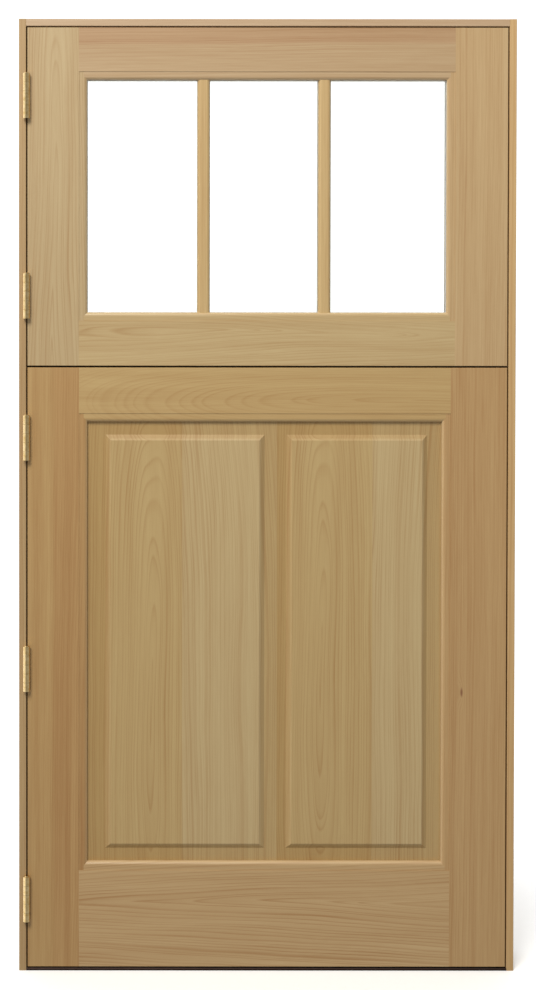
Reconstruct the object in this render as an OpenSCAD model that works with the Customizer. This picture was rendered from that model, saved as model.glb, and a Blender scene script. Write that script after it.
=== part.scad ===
// Dutch stable door in its frame. Two leaves hang one above the other and swing by
// themselves: the upper one holds three tall lites, the lower one a solid wood panel
// with two raised fields. X runs from the hinge side to the latch side, Y from the
// front to the back and Z up. The origin is the middle of the threshold's underside.

/* [Leaves] */
// Width of both leaves
leaf_w = 1067; // [900:1:1220]
// Thickness of both leaves
leaf_t = 44.5; // [42:0.5:56]
// Height of the upper leaf
upper_leaf_h = 751; // [600:1:1000]
// Height of the lower leaf
lower_leaf_h = 1340.5; // [1100:0.5:1500]
// Width of both hinge stiles with their moulded edge
hinge_stile_w = 133; // [110:0.5:160]
// Width of the upper leaf's latch stile with its moulded edge
upper_latch_stile_w = 135.5; // [110:0.5:160]
// Width of the lower leaf's latch stile with its moulded edge
lower_latch_stile_w = 144; // [110:0.5:160]
// Width of the upper leaf's top rail
upper_top_rail_w = 116; // [95:0.5:160]
// Width of the upper leaf's bottom rail
upper_bottom_rail_w = 118.5; // [95:0.5:160]
// Width of the lower leaf's top rail
lower_top_rail_w = 120.5; // [95:0.5:160]
// Width of the lower leaf's bottom rail
lower_bottom_rail_w = 235; // [180:1:300]
// Bevel on the long outer edges of leaves and jambs
arris = 1; // [0.5:0.25:2]

/* [Moulded edge] */
// Width of the moulding along the inner edge of stiles and rails
stick_w = 18.5; // [14:0.5:22]
// Depth of the sunk land beside the face
quirk = 1.2; // [0.5:0.1:2]
// Radius of the quarter round next to the opening
round_r = 8; // [5:0.5:9.5]
// Thickness of the moulded lip in front of the groove or the glass
lip_d = 12.7; // [12:0.1:14]

/* [Panel] */
// Depth of the groove that holds the panel
groove_d = 12.7; // [9:0.1:16]
// Room left beyond the panel's edge for the wood to swell
panel_room = 2.7; // [1.5:0.1:4]
// Thickness of the panel at its raised fields
panel_t = 35; // [26:0.5:40]
// Sunk margin between the hinge stile and the left raised field
hinge_margin = 40; // [25:1:50]
// Sunk margin between the latch stile and the right raised field
latch_margin = 31.5; // [25:0.5:50]
// Sunk margin above the raised fields
top_margin = 30; // [20:1:50]
// Sunk margin below the raised fields
bottom_margin = 28; // [20:1:50]
// Width of the left raised field with its bevels
left_field_w = 355.5; // [250:0.5:380]
// Sunk strip between the two raised fields
field_gap = 48.5; // [35:0.5:80]
// Width of the bevel around a raised field
bevel_w = 12; // [8:0.5:18]

/* [Glazing] */
// Width of a glazing bar seen from the front
bar_w = 28; // [24:0.5:40]
// Thickness of the web between two glass units
bar_web = 10; // [7:0.5:12]
// Share of the clear glass width that the left lite takes
left_lite_share = 0.329; // [0.25:0.001:0.4]
// Share of the clear glass width that the middle lite takes
middle_lite_share = 0.3245; // [0.25:0.0005:0.4]
// Thickness of one pane of a glass unit
pane_t = 3; // [3:0.5:5]
// Space between the two panes of a unit
pane_space = 9.5; // [6:0.5:10]
// Room between a glass unit's edge and the wood
glass_room = 2; // [1:0.25:3]
// Visible width of the metal spacer between two panes
spacer_w = 5.5; // [4:0.25:6]
// Length of a setting block under a glass unit
block_l = 50; // [30:1:80]

/* [Joinery] */
// Diameter of the dowels in the leaf joints
dowel_dia = 12; // [8:0.5:14]
// Length of the dowels
dowel_l = 120; // [80:1:150]

/* [Frame] */
// Depth of the frame through the wall
frame_d = 116; // [100:1:180]
// Thickness of the jambs
jamb_t = 16; // [15:0.5:30]
// Height that a door stop stands off the jamb
stop_t = 12.5; // [10:0.5:20]
// Width of a door stop through the wall
stop_d = 38; // [25:1:48]
// Height of the threshold
threshold_h = 5.5; // [5.5:0.25:10]
// Width of one grip groove in the threshold
tread_groove_w = 3; // [2:0.5:4]
// Depth of one grip groove
tread_groove_d = 0.8; // [0.4:0.1:1]

/* [Clearances] */
// Gap between a leaf and a jamb
side_gap = 3; // [2.5:0.1:4]
// Gap above the upper leaf
head_gap = 3; // [2:0.1:5]
// Gap between the two leaves
split_gap = 4; // [3:0.1:6]
// Gap under the lower leaf
sill_gap = 3; // [2:0.1:6]
// Gap between a leaf's back and the stop, filled by the seal
seal_gap = 4.5; // [3:0.1:6]
// Width of the seal
seal_w = 9; // [7:0.5:10]
// Width of the saw kerf that holds the seal's tongue
kerf_w = 2.5; // [2:0.1:3.5]
// Depth of that kerf in the stop
kerf_d = 8; // [5:0.5:12]
// From the lower leaf's front face to the seal in its top edge
meeting_seal_in = 26; // [10:1:30]

/* [Hinges] */
// Height of a hinge
hinge_h = 100; // [76:1:127]
// Depth of a hinge plate in the wood
plate_d = 38; // [30:0.5:40]
// Thickness of a hinge plate
plate_t = 3; // [2:0.1:3.5]
// Corner radius of a hinge plate
plate_r = 6; // [3:0.5:16]
// Radius of the knuckles
knuckle_r = 7.5; // [6:0.1:8]
// Distance of the pin in front of the leaf's face
pin_out = 8.3; // [8.3:0.1:12]
// Radius of a hinge pin
pin_r = 3.2; // [2.5:0.1:4]
// Running clearance of a pin in its knuckles
pin_clear = 0.05; // [0.02:0.01:0.1]
// Gap between two neighbouring knuckles
knuckle_gap = 0.4; // [0.3:0.05:1]
// From the top of the upper leaf to the middle of its top hinge
top_hinge_in = 152; // [120:1:200]
// From any other leaf end to the middle of the nearest hinge
end_hinge_in = 155.5; // [120:0.5:200]

/* [Screws] */
// Radius of a screw's head
head_r = 4.2; // [3.5:0.1:5]
// Radius of a screw's shank
shank_r = 2.1; // [1.5:0.1:2.5]
// Length of the hinge screws in the leaves
leaf_screw_l = 30; // [20:1:40]
// Length of the hinge screws in the jamb
jamb_screw_l = 13.5; // [10:0.5:14]
// Length of the screws that join jambs and head
frame_screw_l = 60; // [40:1:80]
// Radius of the head of a threshold screw
small_head_r = 2.4; // [2:0.1:2.6]
// Radius of the shank of a threshold screw
small_shank_r = 1.4; // [1:0.1:1.6]
// From a hinge plate's front edge to its first row of screws
screw_row_front = 12.5; // [10:0.5:14]
// From a hinge plate's back edge to its second row of screws
screw_row_back = 10.5; // [8:0.5:14]
// From a hinge plate's end to its nearest screw
screw_row_end = 11; // [8:0.5:16]
// From the frame's front or back to the nearest screw into the head
frame_screw_in = 20; // [15:1:40]

/* [Hidden] */
$fn = 64;

// Overrun of a cut past the surface that it opens
over = 1;
// Play of a glued or driven round piece in its hole
hole_play = 0.05;
// Bed of sealant or free play on each side of glass and panel
bed = 0.25;
// Free air between a seal and the leaf's back
seal_air = 0.3;
// From the jamb's face to the kerf
kerf_x = 3;

// Planes of the frame and the leaves through the wall
front_y = -frame_d / 2;
leaf_back_y = front_y + leaf_t;
leaf_mid_y = front_y + leaf_t / 2;
stop_y = leaf_back_y + seal_gap;

// Heights, from the floor up
lower_z0 = threshold_h + sill_gap;
lower_z1 = lower_z0 + lower_leaf_h;
upper_z0 = lower_z1 + split_gap;
upper_z1 = upper_z0 + upper_leaf_h;
head_z = upper_z1 + head_gap;
frame_h = head_z + jamb_t;

// Half widths, from the middle of the door outwards
leaf_x = leaf_w / 2;
jamb_x = leaf_x + side_gap;
frame_x = jamb_x + jamb_t;
stop_x = jamb_x - stop_t;

// Upright sight lines: one on the hinge side, and one for each leaf on the latch side
hinge_sight_x = hinge_stile_w - leaf_x;
upper_sight_x = leaf_x - upper_latch_stile_w;
lower_sight_x = leaf_x - lower_latch_stile_w;

// Sight openings of the two leaves
glass_z0 = upper_z0 + upper_bottom_rail_w;
glass_z1 = upper_z1 - upper_top_rail_w;
panel_z0 = lower_z0 + lower_bottom_rail_w;
panel_z1 = lower_z1 - lower_top_rail_w;

// Rails are cut this much longer than the opening and then coped over the stiles
rail_bite = max(stick_w, groove_d);

// Glass units and what holds them
clear_glass_w = upper_sight_x - hinge_sight_x - 2 * bar_w;
lite_shares = [left_lite_share, middle_lite_share, 1 - left_lite_share - middle_lite_share];
bar_lap = (bar_w - bar_web) / 2;
unit_y = front_y + lip_d + bed;
unit_t = 2 * pane_t + pane_space;
bead_y = unit_y + unit_t + bed;
bead_t = leaf_back_y - quirk - bead_y;
spacer_set = 0.5;
rebate_z0 = glass_z0 - stick_w;
rebate_z1 = glass_z1 + stick_w;
// Glazing bars stand a little back from the sunk land
bar_set = 4;

// The panel's margin fills the groove with a little play
panel_edge_t = leaf_t - 2 * lip_d - 2 * bed;
panel_bite = groove_d - panel_room;
field_rise = (panel_t - panel_edge_t) / 2;
left_field_x = hinge_sight_x + hinge_margin;
right_field_x = left_field_x + left_field_w + field_gap;
right_field_w = lower_sight_x - latch_margin - right_field_x;
field_h = panel_z1 - panel_z0 - top_margin - bottom_margin;

// Hinges, numbered from the top down
pin_x = -leaf_x - side_gap / 2;
pin_y = front_y - pin_out;
knuckles = 5;
knuckle_h = hinge_h / knuckles;
jamb_knuckles = [for (k = [0 : 2 : knuckles - 1]) k];
leaf_knuckles = [for (k = [1 : 2 : knuckles - 1]) k];
hinge_z = [
    upper_z1 - top_hinge_in,
    upper_z0 + end_hinge_in,
    lower_z1 - end_hinge_in,
    (lower_z1 + lower_z0) / 2,
    lower_z0 + end_hinge_in
];
upper_hinges = [0, 1];
lower_hinges = [2, 3, 4];
screws_per_plate = 4;
screw_rows = [screw_row_front, plate_d - screw_row_back];
// How far a pin's head stands out past the pin, and its height
pin_head_lip = 1.6;
pin_head_h = 1.8;

// Screw proportions
head_rim = 0.4;
screw_tip = 3;
slot_t = 0.9;
slot_d = 1.3;
// Share of a screw head's radius that its cross recess reaches
slot_share = 0.6;
countersink_play = 0.1;
tip_room = 0.4;

// Number of dowels in each end of a rail
rail_dowels = 2;
deep_rail_dowels = 3;

// Setting blocks stand at the quarters of a lite
block_places = [0.25, 0.75];

wood = [0.75, 0.6, 0.42];
pale_wood = [0.8, 0.66, 0.47];
deep_wood = [0.68, 0.53, 0.35];
brass = [0.83, 0.68, 0.35];
bronze = [0.2, 0.16, 0.13];
rubber = [0.12, 0.1, 0.09];
spacer_metal = [0.75, 0.76, 0.77];
clear_glass = [0.8, 0.9, 0.9, 0.35];

// Shared shapes

// Section taken off to round a corner: the blank's corner is at the origin, and its wood
// lies towards -X and +Y
module quarter_cut() {
    difference() {
        translate([-round_r, -over]) square(round_r + over);
        translate([-round_r, round_r]) circle(r = round_r);
    }
}

// Section taken off a moulded edge: a shallow sunk land, then a quarter round
module moulding_cut() {
    translate([-stick_w, -over]) square([stick_w + over, quirk + over]);
    translate([0, quirk]) quarter_cut();
}

// Section of a lower stile or rail of width w: moulded on both faces and grooved
module grooved_section(w) {
    difference() {
        square([w, leaf_t]);
        translate([w, 0]) moulding_cut();
        translate([w, leaf_t]) mirror([0, 1]) moulding_cut();
        translate([w - groove_d, lip_d]) square([groove_d + over, leaf_t - 2 * lip_d]);
    }
}

// Section of an upper stile or rail of width w: moulded in front, rebated behind
module rebated_section(w) {
    difference() {
        square([w, leaf_t]);
        translate([w, 0]) moulding_cut();
        translate([w - stick_w, lip_d]) square([stick_w + over, leaf_t]);
    }
}

// Rectangle with its four corners bevelled
module bevelled_rect(w, d) {
    polygon([
        [arris, 0], [w - arris, 0], [w, arris], [w, d - arris],
        [w - arris, d], [arris, d], [0, d - arris], [0, arris]
    ]);
}

// Stands a section upright, its outer edge on the leaf's edge at the given side
module upright(side, z0, h) {
    translate([side * leaf_x, front_y, z0])
        mirror([side > 0 ? 1 : 0, 0, 0])
        linear_extrude(h) children();
}

// Lays a section across a leaf, its outer edge at height z, the opening above or below
module across(opens_up, z, latch_sight_x) {
    translate([hinge_sight_x - rail_bite, front_y, z])
        mirror([0, 0, opens_up ? 0 : 1])
        rotate([90, 0, 90])
        linear_extrude(latch_sight_x - hinge_sight_x + 2 * rail_bite)
        mirror([1, -1]) children();
}

// Outline of a whole leaf with its outer arrises bevelled
module leaf_outline(z0, h) {
    intersection() {
        translate([-leaf_x, front_y, z0]) linear_extrude(h) bevelled_rect(leaf_w, leaf_t);
        translate([-leaf_x, front_y, z0]) rotate([90, 0, 90])
            linear_extrude(leaf_w) bevelled_rect(leaf_t, h);
    }
}

// Screws

// Half section of a countersunk screw, its head's flat top on Z = 0 and its tip up
module screw_section(hr, sr, l, play, room) {
    polygon([
        [0, 0], [hr + play, 0], [hr + play, head_rim],
        [sr + play, head_rim + hr - sr], [sr + play, l - screw_tip + room], [0, l + room]
    ]);
}

// A countersunk screw along +Z with a cross recess in its head
module screw(hr, sr, l) {
    difference() {
        rotate_extrude() screw_section(hr, sr, l, 0, 0);
        for (a = [0, 90]) rotate(a)
            translate([-hr * slot_share, -slot_t / 2, -over])
                cube([2 * hr * slot_share, slot_t, slot_d + over]);
    }
}

// The hole that such a screw fills, open at the head's side
module screw_hole(hr, sr, l) {
    rotate_extrude() screw_section(hr, sr, l, countersink_play, tip_room);
    translate([0, 0, -over]) cylinder(r = hr + countersink_play, h = over + head_rim / 2);
}

// Puts a screw along X: its head at x, driven towards the given side
module drive(x, y, z, side) {
    translate([x, y, z]) rotate([0, side * 90, 0]) children();
}

// Places of the screws in one hinge plate: [depth from the front face, height]
function plate_screws(z) = [
    for (i = [0 : screws_per_plate - 1]) [
        screw_rows[i % 2],
        z - hinge_h / 2 + screw_row_end + i * (hinge_h - 2 * screw_row_end) / (screws_per_plate - 1)
    ]
];

// All screws of the hinge plates in a list of hinges, on the jamb (-1) or the leaf (+1)
module each_hinge_screw(list, side) {
    for (i = list) for (s = plate_screws(hinge_z[i]))
        drive(pin_x + side * side_gap / 2, front_y + s[0], s[1], side) children();
}

// Depths in the frame of the screws that join a jamb to the head, and to the threshold
// under the leaf and under the stop
frame_screw_y = [front_y + frame_screw_in, 0, -front_y - frame_screw_in];
threshold_screw_y = [leaf_mid_y, stop_y + stop_d / 2];

module each_frame_screw() {
    for (side = [-1, 1]) for (y = frame_screw_y)
        drive(side * frame_x, y, head_z + jamb_t / 2, -side) children();
}

module each_threshold_screw() {
    for (side = [-1, 1]) for (y = threshold_screw_y)
        drive(side * frame_x, y, threshold_h / 2, -side) children();
}

module frame_screws() {
    color(brass) each_frame_screw() screw(head_r, shank_r, frame_screw_l);
}

module threshold_screws() {
    color(brass) each_threshold_screw() screw(small_head_r, small_shank_r, frame_screw_l);
}

module jamb_hinge_screws() {
    color(brass) each_hinge_screw(concat(upper_hinges, lower_hinges), -1)
        screw(head_r, shank_r, jamb_screw_l);
}

module leaf_hinge_screws(list) {
    color(brass) each_hinge_screw(list, 1) screw(head_r, shank_r, leaf_screw_l);
}

// Frame

// A jamb leg on one side, bevelled along its length and drilled for its screws
module jamb(side) {
    difference() {
        translate([side > 0 ? jamb_x : -frame_x, front_y, 0])
            linear_extrude(frame_h) bevelled_rect(jamb_t, frame_d);
        each_frame_screw() screw_hole(head_r, shank_r, frame_screw_l);
        each_threshold_screw() screw_hole(small_head_r, small_shank_r, frame_screw_l);
        if (side < 0) {
            for (z = hinge_z) plate_gain(z, -1);
            each_hinge_screw(concat(upper_hinges, lower_hinges), -1)
                screw_hole(head_r, shank_r, jamb_screw_l);
        }
    }
}

module hinge_jamb() {
    color(wood) jamb(-1);
}

module latch_jamb() {
    color(wood) jamb(1);
}

module head_jamb() {
    color(wood) difference() {
        translate([-jamb_x, front_y, head_z]) rotate([90, 0, 90])
            linear_extrude(2 * jamb_x) bevelled_rect(frame_d, jamb_t);
        each_frame_screw() screw_hole(head_r, shank_r, frame_screw_l);
    }
}

// Low saddle with bevelled long edges and grip grooves behind the leaf
module threshold() {
    first_groove = stop_y + tread_groove_w;
    grooves = floor((-front_y - threshold_h - first_groove) / (2 * tread_groove_w));
    color(bronze) difference() {
        translate([-jamb_x, front_y, 0]) rotate([90, 0, 90])
            linear_extrude(2 * jamb_x) difference() {
                polygon([
                    [0, 0], [frame_d, 0], [frame_d, threshold_h / 2],
                    [frame_d - threshold_h, threshold_h], [arris, threshold_h],
                    [0, threshold_h - arris]
                ]);
                for (i = [0 : grooves - 1])
                    translate([
                        first_groove - front_y + 2 * i * tread_groove_w,
                        threshold_h - tread_groove_d
                    ])
                        square([tread_groove_w, tread_groove_d + over]);
            }
        each_threshold_screw() screw_hole(small_head_r, small_shank_r, frame_screw_l);
    }
}

// A stop's section from the jamb's face outwards, with its exposed arrises bevelled and
// the kerf for the seal sawn into its front
module stop_section() {
    difference() {
        polygon([
            [0, 0], [stop_t - arris, 0], [stop_t, arris],
            [stop_t, stop_d - arris], [stop_t - arris, stop_d], [0, stop_d]
        ]);
        translate([kerf_x, -over]) square([kerf_w, kerf_d + over]);
    }
}

// A seal's strip in front of the stop, flat with a round edge
module seal_strip() {
    seal_t = seal_gap - seal_air;
    translate([0, -seal_t]) square([seal_w - seal_t / 2, seal_t]);
    translate([seal_w - seal_t / 2, -seal_t / 2]) circle(d = seal_t);
}

// A seal's tongue in the stop's kerf
module seal_tongue() {
    translate([kerf_x + bed, -over]) square([kerf_w - 2 * bed, kerf_d - bed + over]);
}

// Runs a section down a jamb's face at one side, its own X pointing to the opening
module down_jamb(side) {
    translate([side * jamb_x, stop_y, threshold_h])
        mirror([side > 0 ? 1 : 0, 0, 0])
        linear_extrude(head_z - threshold_h) children();
}

// Runs a section along the head's underside, its own X pointing down, from -reach to reach
module along_head(reach) {
    translate([-reach, stop_y, head_z])
        mirror([0, 0, 1]) rotate([90, 0, 90])
        linear_extrude(2 * reach)
        mirror([1, -1]) children();
}

module hinge_side_stop() {
    color(wood) down_jamb(-1) stop_section();
}

module latch_side_stop() {
    color(wood) down_jamb(1) stop_section();
}

module head_stop() {
    color(wood) along_head(stop_x) stop_section();
}

// A seal down one side
module side_seal(side) {
    color(rubber) down_jamb(side) union() {
        seal_strip();
        seal_tongue();
    }
}

module hinge_side_seal() {
    side_seal(-1);
}

module latch_side_seal() {
    side_seal(1);
}

// The head's seal: its strip meets the side seals, its tongue ends between the side stops
module head_seal() {
    color(rubber) union() {
        along_head(jamb_x - seal_w - seal_air) seal_strip();
        along_head(stop_x - seal_air) seal_tongue();
    }
}

// Hinges

// Outline of a hinge plate, [depth from the wood's face, height], with its two inner
// corners rounded and its front edge moved forward by lead
module plate_outline(lead) {
    translate([-lead, 0]) square([lead + plate_d - plate_r, hinge_h]);
    translate([0, plate_r]) square([plate_d, hinge_h - 2 * plate_r]);
    for (b = [plate_r, hinge_h - plate_r]) translate([plate_d - plate_r, b]) circle(r = plate_r);
}

// Stands a plate's outline in the wood at one side of the gap, t thick, from skin outside it
module in_wood(z, side, skin, t) {
    translate([pin_x + side * side_gap / 2, front_y, z - hinge_h / 2])
        mirror([side < 0 ? 1 : 0, 0, 0])
        rotate([90, 0, 90])
        translate([0, 0, -skin]) linear_extrude(skin + t) children();
}

// The recess that a hinge plate lies in
module plate_gain(z, side) {
    in_wood(z, side, over, plate_t) plate_outline(over);
}

// One knuckle with the neck that joins it to its plate; k counts from the bottom
module knuckle(z, side, k) {
    z0 = z - hinge_h / 2 + k * knuckle_h + (k == 0 ? 0 : knuckle_gap / 2);
    z1 = z - hinge_h / 2 + (k + 1) * knuckle_h - (k == knuckles - 1 ? 0 : knuckle_gap / 2);
    neck_x = side > 0 ? side_gap / 2 : -side_gap / 2 - plate_t;
    translate([pin_x, pin_y, z0]) cylinder(r = knuckle_r, h = z1 - z0);
    translate([pin_x + neck_x, pin_y, z0]) cube([plate_t, pin_out + over, z1 - z0]);
}

// A hinge plate with its knuckles, bored for the pin and countersunk for its screws
module hinge_plate(i, side, own) {
    z = hinge_z[i];
    color(brass) difference() {
        union() {
            in_wood(z, side, 0, plate_t) plate_outline(0);
            for (k = own) knuckle(z, side, k);
        }
        translate([pin_x, pin_y, z - hinge_h / 2 - over])
            cylinder(r = pin_r + pin_clear, h = hinge_h + 2 * over);
        each_hinge_screw([i], side) screw_hole(head_r, shank_r, leaf_screw_l);
    }
}

module jamb_plate(i) {
    hinge_plate(i, -1, jamb_knuckles);
}

module leaf_plate(i) {
    hinge_plate(i, 1, leaf_knuckles);
}

// A loose pin with a low button head that rests on the top knuckle
module hinge_pin(i) {
    head_r = pin_r + pin_head_lip;
    color(brass) translate([pin_x, pin_y, hinge_z[i]]) rotate_extrude() polygon([
        [0, -hinge_h / 2], [pin_r, -hinge_h / 2], [pin_r, hinge_h / 2],
        [head_r, hinge_h / 2], [head_r, hinge_h / 2 + pin_head_h / 2],
        [head_r - pin_head_h / 2, hinge_h / 2 + pin_head_h], [0, hinge_h / 2 + pin_head_h]
    ]);
}

// Joinery of the leaves

// Heights of n dowels in a rail of width w, from its outer edge at z towards the opening
function dowel_z(z, w, up, n) = [for (i = [0 : n - 1]) z + up * (i + 0.5) * w / n];

upper_dowel_z = concat(
    dowel_z(upper_z1, upper_top_rail_w, -1, rail_dowels),
    dowel_z(upper_z0, upper_bottom_rail_w, 1, rail_dowels)
);
lower_dowel_z = concat(
    dowel_z(lower_z1, lower_top_rail_w, -1, rail_dowels),
    dowel_z(lower_z0, lower_bottom_rail_w, 1, deep_rail_dowels)
);

// The dowels of a leaf, or with play the holes that they fill
module dowels(heights, latch_sight_x, play) {
    for (x = [hinge_sight_x - stick_w, latch_sight_x + stick_w]) for (z = heights)
        translate([x - dowel_l / 2 - play, leaf_mid_y, z])
            rotate([0, 90, 0]) cylinder(d = dowel_dia + 2 * play, h = dowel_l + 2 * play);
}

module upper_dowels(play = 0) {
    color(pale_wood) dowels(upper_dowel_z, upper_sight_x, play);
}

module lower_dowels(play = 0) {
    color(pale_wood) dowels(lower_dowel_z, lower_sight_x, play);
}

// The hinge plates' recesses and screw holes in the edge of a leaf
module leaf_hinge_cuts(list) {
    for (i = list) plate_gain(hinge_z[i], 1);
    each_hinge_screw(list, 1) screw_hole(head_r, shank_r, leaf_screw_l);
}

// Upper leaf

function upper_stile_w(side) = side < 0 ? hinge_stile_w : upper_latch_stile_w;

module upper_stile(side) {
    intersection() {
        difference() {
            upright(side, upper_z0, upper_leaf_h) rebated_section(upper_stile_w(side));
            upper_dowels(hole_play);
            if (side < 0) leaf_hinge_cuts(upper_hinges);
        }
        leaf_outline(upper_z0, upper_leaf_h);
    }
}

// A rail's blank, coped over both stiles
module upper_rail(opens_up, z, w) {
    intersection() {
        difference() {
            across(opens_up, z, upper_sight_x) rebated_section(w);
            for (side = [-1, 1])
                upright(side, upper_z0 - over, upper_leaf_h + 2 * over)
                    rebated_section(upper_stile_w(side));
            upper_dowels(hole_play);
        }
        leaf_outline(upper_z0, upper_leaf_h);
    }
}

module upper_hinge_stile() {
    color(wood) upper_stile(-1);
}

module upper_latch_stile() {
    color(wood) upper_stile(1);
}

module upper_top_rail() {
    color(wood) upper_rail(false, upper_z1, upper_top_rail_w);
}

module upper_bottom_rail() {
    color(wood) upper_rail(true, upper_z0, upper_bottom_rail_w);
}

// Width of the lite with the given number, counted from the hinge side
function lite_w(i) = clear_glass_w * lite_shares[i];
// Left edge of that lite
function lite_x(i) = i == 0 ? hinge_sight_x : lite_x(i - 1) + lite_w(i - 1) + bar_w;
// Depth of wood beside a lite, behind which its glass unit reaches
function lap_left(i) = i == 0 ? stick_w : bar_lap;
function lap_right(i) = i == 2 ? stick_w : bar_lap;

// Section of a glazing bar: a round front moulding and a web between the glass units
module bar_section() {
    difference() {
        translate([-bar_w / 2, quirk + bar_set]) square([bar_w, lip_d - quirk - bar_set]);
        for (m = [0, 1]) mirror([m, 0]) translate([bar_w / 2, quirk + bar_set]) quarter_cut();
    }
    translate([-bar_web / 2, lip_d - over]) square([bar_web, leaf_t - quirk - lip_d + over]);
}

// A glazing bar after the lite with the given number, coped over both rails
module glazing_bar(i) {
    color(pale_wood) difference() {
        translate([lite_x(i) + lite_w(i) + bar_w / 2, front_y, rebate_z0])
            linear_extrude(rebate_z1 - rebate_z0) bar_section();
        across(false, upper_z1, upper_sight_x) rebated_section(upper_top_rail_w);
        across(true, upper_z0, upper_sight_x) rebated_section(upper_bottom_rail_w);
    }
}

// A pane of a lite's glass unit, its front face at depth y
module pane(i, y) {
    x0 = lite_x(i) - lap_left(i) + glass_room;
    x1 = lite_x(i) + lite_w(i) + lap_right(i) - glass_room;
    z0 = rebate_z0 + glass_room;
    color(clear_glass)
        translate([x0, y, z0]) cube([x1 - x0, pane_t, rebate_z1 - glass_room - z0]);
}

module front_pane(i) {
    pane(i, unit_y);
}

module back_pane(i) {
    pane(i, unit_y + pane_t + pane_space);
}

// The metal frame that keeps the two panes of a unit apart, just outside the sight lines
module spacer(i) {
    outer = spacer_set + spacer_w;
    color(spacer_metal) difference() {
        translate([lite_x(i) - outer, unit_y + pane_t, glass_z0 - outer])
            cube([lite_w(i) + 2 * outer, pane_space, glass_z1 - glass_z0 + 2 * outer]);
        translate([lite_x(i) - spacer_set, unit_y + pane_t - over, glass_z0 - spacer_set])
            cube([
                lite_w(i) + 2 * spacer_set, pane_space + 2 * over,
                glass_z1 - glass_z0 + 2 * spacer_set
            ]);
    }
}

// Two blocks under each glass unit carry its weight
module setting_blocks() {
    color(rubber) for (i = [0 : 2]) for (q = block_places)
        translate([lite_x(i) + q * lite_w(i) - block_l / 2, unit_y, rebate_z0])
            cube([block_l, unit_t, glass_room]);
}

// Section of a glazing bead of width w, its face towards +Y and its round to the opening
module bead_section(w) {
    difference() {
        square([w, bead_t]);
        translate([w, bead_t]) mirror([0, 1]) quarter_cut();
    }
}

// The two upright beads of a lite
module upright_beads(i) {
    translate([lite_x(i) - lap_left(i), bead_y, rebate_z0])
        linear_extrude(rebate_z1 - rebate_z0) bead_section(lap_left(i));
    translate([lite_x(i) + lite_w(i) + lap_right(i), bead_y, rebate_z0]) mirror([1, 0, 0])
        linear_extrude(rebate_z1 - rebate_z0) bead_section(lap_right(i));
}

// All four beads of a lite, the level ones coped over the upright ones
module beads(i) {
    x0 = lite_x(i) - lap_left(i);
    span = lap_left(i) + lite_w(i) + lap_right(i);
    color(pale_wood) {
        upright_beads(i);
        for (top = [false, true]) difference() {
            translate([x0, bead_y, top ? rebate_z1 : rebate_z0])
                mirror([0, 0, top ? 1 : 0]) rotate([90, 0, 90])
                linear_extrude(span) mirror([1, -1]) bead_section(stick_w);
            upright_beads(i);
        }
    }
}

// Lower leaf

// The kerf along the lower leaf's top edge for the seal in the gap between the leaves
module meeting_kerf() {
    translate([-leaf_x - over, front_y + meeting_seal_in + (seal_w - kerf_w) / 2, lower_z1 - kerf_d])
        cube([leaf_w + 2 * over, kerf_w, kerf_d + over]);
}

// A strip with round edges that closes the gap between the leaves, and its tongue
module meeting_seal() {
    seal_h = split_gap - seal_air;
    color(rubber) translate([-leaf_x, front_y + meeting_seal_in, lower_z1]) rotate([90, 0, 90])
        linear_extrude(leaf_w) {
            translate([seal_h / 2, 0]) square([seal_w - seal_h, seal_h]);
            for (y = [seal_h / 2, seal_w - seal_h / 2]) translate([y, seal_h / 2]) circle(d = seal_h);
            translate([(seal_w - kerf_w) / 2 + bed, bed - kerf_d])
                square([kerf_w - 2 * bed, kerf_d - bed + over]);
        }
}

function lower_stile_w(side) = side < 0 ? hinge_stile_w : lower_latch_stile_w;

module lower_stile(side) {
    intersection() {
        difference() {
            upright(side, lower_z0, lower_leaf_h) grooved_section(lower_stile_w(side));
            lower_dowels(hole_play);
            meeting_kerf();
            if (side < 0) leaf_hinge_cuts(lower_hinges);
        }
        leaf_outline(lower_z0, lower_leaf_h);
    }
}

// A rail's blank, coped over both stiles
module lower_rail(opens_up, z, w) {
    intersection() {
        difference() {
            across(opens_up, z, lower_sight_x) grooved_section(w);
            for (side = [-1, 1])
                upright(side, lower_z0 - over, lower_leaf_h + 2 * over)
                    grooved_section(lower_stile_w(side));
            lower_dowels(hole_play);
            meeting_kerf();
        }
        leaf_outline(lower_z0, lower_leaf_h);
    }
}

module lower_hinge_stile() {
    color(deep_wood) lower_stile(-1);
}

module lower_latch_stile() {
    color(deep_wood) lower_stile(1);
}

module lower_top_rail() {
    color(deep_wood) lower_rail(false, lower_z1, lower_top_rail_w);
}

module lower_bottom_rail() {
    color(deep_wood) lower_rail(true, lower_z0, lower_bottom_rail_w);
}

// Section of a raised field of width w, bevelled on the front and the back
module field_section(w) {
    polygon([
        [0, -panel_edge_t / 2], [bevel_w, -panel_t / 2],
        [w - bevel_w, -panel_t / 2], [w, -panel_edge_t / 2],
        [w, panel_edge_t / 2], [w - bevel_w, panel_t / 2],
        [bevel_w, panel_t / 2], [0, panel_edge_t / 2]
    ]);
}

// A raised field whose left bevel starts at x0, mitred at its corners
module raised_field(x0, w) {
    translate([x0, leaf_mid_y, panel_z0 + bottom_margin]) intersection() {
        linear_extrude(field_h) field_section(w);
        rotate([90, 0, 90]) linear_extrude(w) mirror([1, -1]) field_section(field_h);
    }
}

// One glued-up panel whose thin margin floats in the groove
module lower_panel() {
    panel_w = lower_sight_x - hinge_sight_x + 2 * panel_bite;
    color(deep_wood) union() {
        translate([
            hinge_sight_x - panel_bite, leaf_mid_y - panel_edge_t / 2, panel_z0 - panel_bite
        ])
            cube([panel_w, panel_edge_t, panel_z1 - panel_z0 + 2 * panel_bite]);
        raised_field(left_field_x, left_field_w);
        raised_field(right_field_x, right_field_w);
    }
}

// The whole door

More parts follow.
